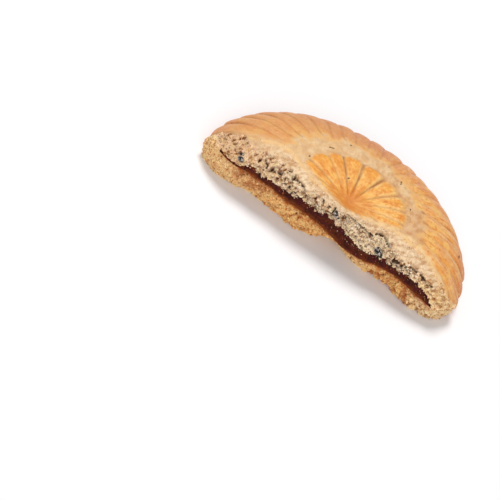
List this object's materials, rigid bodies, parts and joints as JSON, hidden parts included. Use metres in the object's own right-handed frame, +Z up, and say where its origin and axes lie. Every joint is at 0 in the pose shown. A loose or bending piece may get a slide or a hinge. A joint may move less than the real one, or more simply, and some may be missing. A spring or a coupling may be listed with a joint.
{
  "type": "date-filled cookie half",
  "caption": "Half of a round moulded cookie with a fluted rim and a petal rosette on top, broken across so that its layer of date filling shows.",
  "frame": {"origin": "on the flat base, 18 mm behind the axis of the whole disc, near the middle of the half's base", "axes": "+X along the break, the break faces -Y, +Z up from the flat base to the moulded top"},
  "size_m": [0.0871, 0.0505, 0.0174],
  "materials": {
    "baked_dough": null,
    "date_paste": null
  },
  "bodies": {
    "root": {"dough": "baked_dough", "date_filling": "date_paste"}
  },
  "joints": []
}
